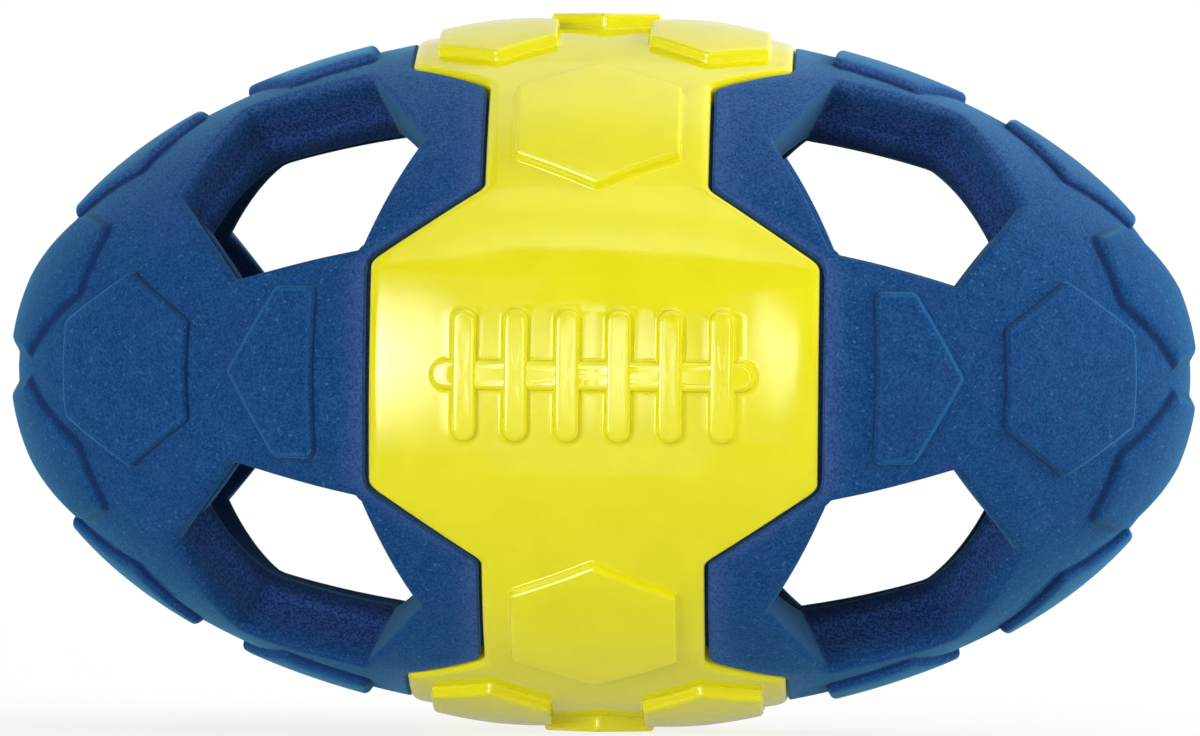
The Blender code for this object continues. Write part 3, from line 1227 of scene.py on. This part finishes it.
@dataclass(frozen=True)
class ReliefMasks:
    """Where light and shade are painted on the foamed rubber, by its relief.

    The edges mask paints highlights on the rounded edges of what stands over the skin, the root shade is
    painted where a wall meets the skin, the top highlight paints the overhead light's reflection on the
    ball's top, the walls mask paints shade and bounced light in the windows' walls, and the depth mask
    paints shade deep in the bore.
    """

    edges: Value
    roots: Value
    top_highlight: Value
    walls: Value
    depth: Value


@dataclass(frozen=True)
class FoamRubber:
    """Matte blue foamed rubber: a fine speckled skin, with painted light and shade on its relief.

    Painted highlights lie on raised edges and painted shade at their roots. A turn is the part of a face's
    normal that points straight out of the skin, or up for the painted reflection of the overhead light,
    and a height is measured from the skin.
    """

    skin: Egg
    outline: BeltOutline
    lift: float
    slot: str = "blue_foam_rubber"
    deep: Colour = (0.0055, 0.0375, 0.1350, 1.0)
    pale: Colour = (0.0165, 0.0780, 0.2250, 1.0)
    fleck: Colour = (0.0650, 0.1650, 0.3600, 1.0)
    # Painted highlight on raised edges, where they would catch the light.
    painted_edge_highlight: Colour = (0.0180, 0.1300, 0.3600, 1.0)
    # Painted shade at the roots of raised walls.
    painted_root_shade: Colour = (0.0080, 0.0200, 0.0850, 1.0)
    # Painted shade deep in the bore.
    painted_bore_shade: Colour = (0.0070, 0.0130, 0.0300, 1.0)
    # Painted reflection of the lamps beside the belt and of the overhead light on the top.
    painted_reflection: Colour = (0.0560, 0.1080, 0.2950, 1.0)
    violet: Colour = (0.0220, 0.0440, 0.1750, 1.0)
    # Painted shade and bounced light of the windows' walls, mixed by the grain.
    painted_wall_shade: Colour = (0.0090, 0.0150, 0.0640, 1.0)
    painted_wall_light: Colour = (0.0360, 0.0700, 0.2600, 1.0)
    sheen: Colour = (0.25, 0.75, 1.0, 1.0)
    grain_scale: float = 2900.0
    grain_range: Flat = (0.32, 0.68)
    grain_share: float = 0.75
    grain_depth: float = 0.05 * MM
    grain_strength: float = 0.6
    mottle_scale: float = 420.0
    mottle_bump: float = 0.6
    speck_range: Flat = (0.3, 0.7)
    fleck_scale: float = 1700.0
    fleck_range: Flat = (0.66, 0.75)
    fleck_share: float = 0.55
    tinge_scale: float = 150.0
    tinge_range: Flat = (0.42, 0.72)
    tinge_share: float = 0.22
    # Width of the painted lamp reflection beside the belt, and how much of it shows.
    band: float = 5.0 * MM
    band_share: float = 0.3
    band_specks: float = 0.45
    tip_angles: Flat = (18.0 * DEG, 72.0 * DEG)
    tip_fade: float = 6.0 * DEG
    tip_start: Flat = (52.0 * MM, 56.0 * MM)
    tip_end: Flat = (75.5 * MM, 77.0 * MM)
    tipward: Flat = (-0.28, 0.05)
    # Where the painted edge highlights fall.
    edge_turn: Flat = (0.997, 0.95)
    edge_end: Flat = (0.70, 0.85)
    edge_height: Flat = (0.75 * MM, 0.90 * MM)
    edge_share: float = 0.5
    edge_least: float = 0.3
    soft_edge_loss: float = 0.7
    # Where the painted root shade falls.
    root_turn: Flat = (0.985, 0.85)
    root_height: Flat = (0.75 * MM, 0.20 * MM)
    root_floor: Flat = (-0.3 * MM, 0.0)
    root_share: float = 0.66
    tipward_root_loss: float = 0.5
    soft_root_gain: float = 0.12
    soft_root_rise: float = 0.2 * MM
    # Where the painted reflection of the overhead light falls on the top.
    top_highlight_turn: Flat = (0.35, 0.95)
    top_highlight_height: Flat = (-2.0 * MM, -0.5 * MM)
    top_highlight_share: float = 0.15
    top_highlight_specks: float = 0.5
    # Where the painted shade and bounced light of the windows' walls fall.
    wall_height: Flat = (-1.0 * MM, -4.0 * MM)
    wall_share: float = 0.6
    # Where the painted shade of the bore falls.
    bore_height: Flat = (-7.0 * MM, -9.5 * MM)
    bore_share: float = 0.6

    def from_middle(self, tree: FinishTree) -> Value:
        """Coordinates from the ball's middle."""
        return tree.vector("SUBTRACT", tree.place(), (0.0, 0.0, self.lift))

    def folded(self, tree: FinishTree) -> tuple[Value, Value]:
        """Distance from the middle along X, and angle round the ball, both as in one quarter."""
        along, across, up = tree.vector("ABSOLUTE", self.from_middle(tree)).split()
        return along, up.angle_over(across)

    def belt_reflection_band(self, tree: FinishTree) -> Value:
        """Mask of the painted reflection of the lamps, in a band beside the belt.

        Args:
            tree: the material's tree.

        Returns:
            1 at the belt's edge, fading out over the band's width.
        """
        belt, (along, angle) = self.outline, self.folded(tree)
        to_neck = angle.ramp(belt.front_end, belt.neck_start)
        to_top = angle.ramp(belt.neck_end, belt.top_start)
        half = to_neck * (belt.neck_half - belt.front_half) + belt.front_half
        half = to_top * (belt.top_half - belt.neck_half) + half
        return (along - half).between(self.band, 0.0)

    def tip_plates(self, tree: FinishTree) -> Value:
        """Mask of the soft-edged plates round the tip.

        Args:
            tree: the material's tree.

        Returns:
            1 over the plates and at the tip.
        """
        along, angle = self.folded(tree)
        low, high = self.tip_angles
        round_tip = angle.between(low, low + self.tip_fade) * angle.between(high, high - self.tip_fade)
        return (round_tip * along.between(*self.tip_start)).larger(along.between(*self.tip_end))

    def relief_masks(self, tree: FinishTree) -> ReliefMasks:
        """Masks of the light and shade that the relief paints on the finish.

        Args:
            tree: the material's tree.

        Returns:
            The masks. Edges that face the tip get the most painted highlight, and roots that face the belt
            get the most painted shade.
        """
        place, shrink = self.from_middle(tree), self.skin.shrink
        scaled = tree.vector("MULTIPLY", place, shrink)
        slope = tree.vector("MULTIPLY", scaled, shrink)
        level = tree.measure("LENGTH", scaled)
        height = (level - 1.0) * (level / tree.measure("LENGTH", slope))
        out = tree.vector("NORMALIZE", slope)
        face = tree.node("ShaderNodeNewGeometry", output="Normal")
        turn = tree.measure("DOT_PRODUCT", out, face)
        lean = tree.vector("SUBTRACT", face, out).split()[0] * place.split()[0].sign()
        tipward, soft = lean.between(*self.tipward), self.tip_plates(tree)
        # Painted highlights on raised edges, strongest on edges that face the tip.
        edges = turn.between(*self.edge_turn) * turn.between(*self.edge_end)
        edges = edges * height.between(*self.edge_height) * (1.0 - soft * self.soft_edge_loss)
        edges = edges * (tipward * (1.0 - self.edge_least) + self.edge_least)
        # Painted shade at the roots of walls, strongest on roots that face the belt.
        roots = turn.between(*self.root_turn) * height.between(*self.root_floor)
        roots = roots * (height - soft * self.soft_root_rise).between(*self.root_height)
        roots = roots * (soft * self.soft_root_gain + self.root_share)
        roots = roots * (1.0 - tipward * self.tipward_root_loss)
        # Painted reflection of the overhead light on up-facing skin.
        top_highlight = out.split()[2].between(*self.top_highlight_turn) * height.between(*self.top_highlight_height)
        # Painted shade and bounced light in the windows' walls, and painted shade deep in the bore.
        walls, depth = height.between(*self.wall_height), height.between(*self.bore_height)
        return ReliefMasks(edges, roots, top_highlight, walls, depth)

    def dress(self, piece: bpy.types.Object) -> None:
        """Make the finish and give it to a piece.

        Args:
            piece: the piece.
        """
        tree = FinishTree(f"{piece.name}_foam")
        grain, mottle = tree.noise(self.grain_scale, detail=1.0), tree.noise(self.mottle_scale)
        speck, cloud = grain.between(*self.speck_range), mottle.between(*self.speck_range)
        blotch = grain.between(*self.grain_range) * self.grain_share + cloud * (1.0 - self.grain_share)
        flecks = tree.noise(self.fleck_scale, detail=1.0).between(*self.fleck_range)
        tinge = tree.noise(self.tinge_scale, detail=3.0).between(*self.tinge_range)
        masks = self.relief_masks(tree)
        colour = tree.mixed(blotch, self.deep, self.pale)
        # Coats over the grain: flecks and a random violet tinge, then painted light and shade: the
        # windows' walls, lamp reflections beside the belt and on the top, highlights on raised edges,
        # shade at their roots and deep in the bore.
        for share, coat in (
                (flecks * self.fleck_share, self.fleck),
                (tinge * self.tinge_share, self.violet),
                (masks.walls * self.wall_share, tree.mixed(speck, self.painted_wall_shade, self.painted_wall_light)),
                (self.belt_reflection_band(tree) * (speck * self.band_specks + self.band_share), self.painted_reflection),
                (masks.top_highlight * (speck * self.top_highlight_specks + self.top_highlight_share), self.painted_reflection),
                (masks.edges * self.edge_share, self.painted_edge_highlight),
                (masks.roots, self.painted_root_shade),
                (masks.depth * self.bore_share, self.painted_bore_shade)):
            colour = tree.mixed(share, colour, coat)
        relief = tree.bump(grain + mottle * self.mottle_bump, self.grain_depth, self.grain_strength)
        tree.dress(piece, Base_Color=colour, Roughness=0.6, Normal=relief, Specular_IOR_Level=0.0,
                   Sheen_Weight=0.34, Sheen_Roughness=0.4, Sheen_Tint=self.sheen)


@dataclass(frozen=True)
class GlossRubber:
    """Glossy yellow moulded rubber with a slightly wavy skin."""

    slot: str = "yellow_rubber"
    ripe: Colour = (0.765, 0.712, 0.002, 1.0)
    bright: Colour = (0.800, 0.746, 0.003, 1.0)
    cloud_scale: float = 130.0
    cloud_range: Flat = (0.3, 0.7)
    dull_range: Flat = (0.35, 0.65)
    roughest: float = 0.12
    smoothest: float = 0.07
    wave_scale: float = 42.0
    wave_depth: float = 0.6 * MM
    wave_strength: float = 0.8
    fine_scale: float = 3200.0
    fine_depth: float = 0.004 * MM
    fine_strength: float = 0.3

    def dress(self, piece: bpy.types.Object) -> None:
        """Make the finish and give it to a piece.

        Args:
            piece: the piece.
        """
        tree = FinishTree(f"{piece.name}_gloss")
        cloud, fine = tree.noise(self.cloud_scale), tree.noise(self.fine_scale, detail=1.0)
        wave = tree.noise(self.wave_scale, detail=1.0)
        waves = tree.bump(wave, self.wave_depth, self.wave_strength)
        relief = tree.bump(fine, self.fine_depth, self.fine_strength, waves)
        colour = tree.mixed(cloud.between(*self.cloud_range), self.ripe, self.bright)
        rough = cloud.between(*self.dull_range) * (self.roughest - self.smoothest) + self.smoothest
        tree.dress(piece, Base_Color=colour, Roughness=rough, Normal=relief, Specular_IOR_Level=0.9)


@dataclass(frozen=True)
class Softbox:
    """A soft lamp that faces the ball; angles in degrees to the right of the front and up.

    Its glow is 1 where its face is white. Its middle, or another spot, may be hotter by a factor.
    """

    name: str
    azimuth: float
    elevation: float
    distance: float
    width: float
    height: float
    glow: float
    hot: float = 0.0
    hot_at: Flat = (0.5, 0.5)
    hot_reach: float = 0.5
    mirrored: bool = True


@dataclass
class Studio:
    """Floor, lights and camera."""

    middle: Vector
    frame_width: int = 1200
    frame_height: int = 736
    metres_per_pixel: float = 0.13983 * MM
    distance: float = 1.4795
    azimuth: float = 1.83 * DEG
    elevation: float = 0.66 * DEG
    roll: float = 0.60 * DEG
    middle_pixel: Flat = (604.0, 372.0)
    sensor: float = 36.0
    reach: float = 50.0
    floor_size: float = 6.0
    floor_grey: Colour = (0.55, 0.55, 0.55, 1.0)
    floor_pale: Colour = (0.92, 0.92, 0.92, 1.0)
    floor_white: float = 0.78
    floor_fade: Flat = (0.25, 1.0)
    floor_glow: float = 0.46
    room: float = 0.15
    under: float = 0.3
    under_back: float = 0.45
    backdrop: float = 0.9
    behind_fade: Flat = (-0.2, 0.2)
    above_fade: Flat = (-0.1, 0.1)
    fill: float = 0.21
    softboxes: tuple[Softbox, ...] = (
        Softbox("left_softbox", -33.0, 3.5, 1.6, 1.38, 1.80, 0.30, 29.0),
        Softbox("front_softbox", 0.0, -6.0, 1.7, 0.85, 1.80, 0.35, 9.0, (0.5, 0.70)),
        Softbox("right_softbox", 18.0, 2.0, 1.6, 0.24, 1.50, 0.25, 18.0, (0.8, 0.62)),
        Softbox("high_softbox", 0.0, 52.0, 1.5, 1.60, 0.62, 0.50, 2.0, (0.5, 0.0)),
        Softbox("over_softbox", 90.0, 78.0, 1.5, 2.20, 1.60, 0.38),
        Softbox("right_end_softbox", 98.0, 14.0, 1.6, 1.90, 1.50, 4.7, mirrored=False),
        Softbox("left_end_softbox", -130.0, 6.0, 1.6, 1.90, 0.90, 2.8, mirrored=False),
        Softbox("back_softbox", 160.0, 35.0, 1.6, 1.80, 1.40, 1.0, mirrored=False),
        Softbox("rear_softbox", 148.0, 4.0, 1.6, 0.70, 1.30, 0.12, 40.0),
    )

    def build(self) -> None:
        """Make the floor, the lights, the world and the camera."""
        self.add_floor()
        self.add_world()
        for softbox in self.softboxes:
            self.add_softbox(softbox)
        self.add_camera()

    def add_floor(self) -> None:
        """A wide sheet of white acrylic, lit from under it, that keeps the ball's shadow."""
        bm = bmesh.new()
        bmesh.ops.create_grid(bm, x_segments=1, y_segments=1, size=self.floor_size)
        floor = mesh_object("floor", bm)
        floor.visible_glossy = False
        tree = FinishTree("pale_floor")
        seen = tree.seen()
        sheet = tree.mixed(seen, self.floor_grey, self.floor_pale)
        tree.dress(floor, Base_Color=sheet, Roughness=0.6, Specular_IOR_Level=0.2)
        far = tree.measure("LENGTH", tree.place()).between(*self.floor_fade)
        seen = seen * (far * (1.0 - self.floor_white) + self.floor_white)
        seen = seen.larger(tree.ray("Is Diffuse Ray") * self.floor_glow)
        white = tree.node("ShaderNodeEmission", None, {"Color": WHITE, "Strength": 1.0})
        lit = Value(tree, tree.shader.outputs[0])
        mixed = tree.node("ShaderNodeMixShader", None, {0: seen, 1: lit, 2: white})
        tree.feed(tree.nodes["Material Output"].inputs["Surface"], mixed)

    def add_world(self) -> None:
        """White to the camera and behind the ball, with a dimmer room on the camera's side."""
        world = bpy.data.worlds.new("studio")
        world.use_nodes = True
        bpy.context.scene.world = world
        tree = ShaderTree(world.node_tree)
        _, deep, high = tree.node("ShaderNodeTexCoord", output="Generated").split()
        behind, above = deep.between(*self.behind_fade), high.between(*self.above_fade)
        mirrored = behind * (self.backdrop - self.room) + self.room
        low = behind * (self.under_back - self.under) + self.under
        mirrored = above * (mirrored - low) + low
        level = tree.ray("Is Glossy Ray") * (mirrored - self.fill) + self.fill
        seen = tree.seen()
        backdrop = tree.nodes["Background"]
        tree.feed(backdrop.inputs["Color"], WHITE)
        tree.feed(backdrop.inputs["Strength"], seen + (1.0 - seen) * level)

    def add_softbox(self, softbox: Softbox) -> None:
        """Add a lamp.

        Args:
            softbox: where it stands, its size and how bright its face is.
        """
        lamp = bpy.data.lights.new(softbox.name, "AREA")
        lamp.shape = "RECTANGLE"
        lamp.size, lamp.size_y = softbox.width, softbox.height
        lamp.energy = softbox.glow * math.pi * softbox.width * softbox.height
        lamp.use_nodes = True
        tree = ShaderTree(lamp.node_tree)
        face = tree.node("ShaderNodeNewGeometry", output="Parametric")
        aside = tree.measure("DISTANCE", face, (*softbox.hot_at, 0.0))
        strength = aside.between(softbox.hot_reach, 0.0) * softbox.hot + 1.0
        tree.feed(tree.nodes["Emission"].inputs["Strength"], strength)
        made = add_object(softbox.name, lamp)
        made.visible_glossy = softbox.mirrored
        back = self.direction(softbox.azimuth * DEG, softbox.elevation * DEG)
        made.location = self.middle + back * softbox.distance
        made.rotation_euler = back.to_track_quat("Z", "Y").to_euler()

    @staticmethod
    def direction(azimuth: float, elevation: float) -> Vector:
        """Direction from the ball, to the right of the front and up."""
        level = math.cos(elevation)
        return Vector((level * math.sin(azimuth), -level * math.cos(azimuth), math.sin(elevation)))

    def add_camera(self) -> None:
        """Camera at the photograph's view, slightly rolled, with the ball a little off its centre."""
        lens = bpy.data.cameras.new("camera")
        lens.sensor_width = self.sensor
        lens.lens = self.sensor * self.distance / (self.frame_width * self.metres_per_pixel)
        lens.shift_x = (self.frame_width / 2 - self.middle_pixel[0]) / self.frame_width
        lens.shift_y = (self.middle_pixel[1] - self.frame_height / 2) / self.frame_width
        lens.clip_end = self.reach
        camera = add_object("camera", lens)
        back = self.direction(self.azimuth, self.elevation)
        right = Vector((math.cos(self.azimuth), math.sin(self.azimuth), 0.0))
        rise = back.cross(right)
        cos, sin = math.cos(self.roll), math.sin(self.roll)
        turn = Matrix((right * cos + rise * sin, rise * cos - right * sin, back)).transposed().to_4x4()
        camera.matrix_world = Matrix.Translation(self.middle + back * self.distance) @ turn
        bpy.context.scene.camera = camera


def main() -> None:
    """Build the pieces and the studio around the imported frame."""
    logging.basicConfig(level=logging.INFO, format="%(name)s %(message)s")
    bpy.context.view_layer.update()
    low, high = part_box("belt")
    middle = Vector((0.0, 0.0, (low.z + high.z) / 2))
    skin = Egg(half_length=81.9 * MM, half_width=48.1 * MM)
    outline = BeltOutline(skin.half_width)
    foam, gloss = FoamRubber(skin, outline, middle.z), GlossRubber()
    jobs = [(HalfShell(end, skin, outline), foam) for end in End] + [(Belt(skin, outline), gloss)]
    for part, finish in jobs:
        piece = part.build(middle.z)
        finish.dress(piece)
        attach(piece, "root")
        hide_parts(part.name)
        LOG.info("%s stands for %s", piece.name, part.name)
    Studio(middle).build()
    bpy.context.scene.view_settings.view_transform = "Standard"


if __name__ == "__main__":
    main()
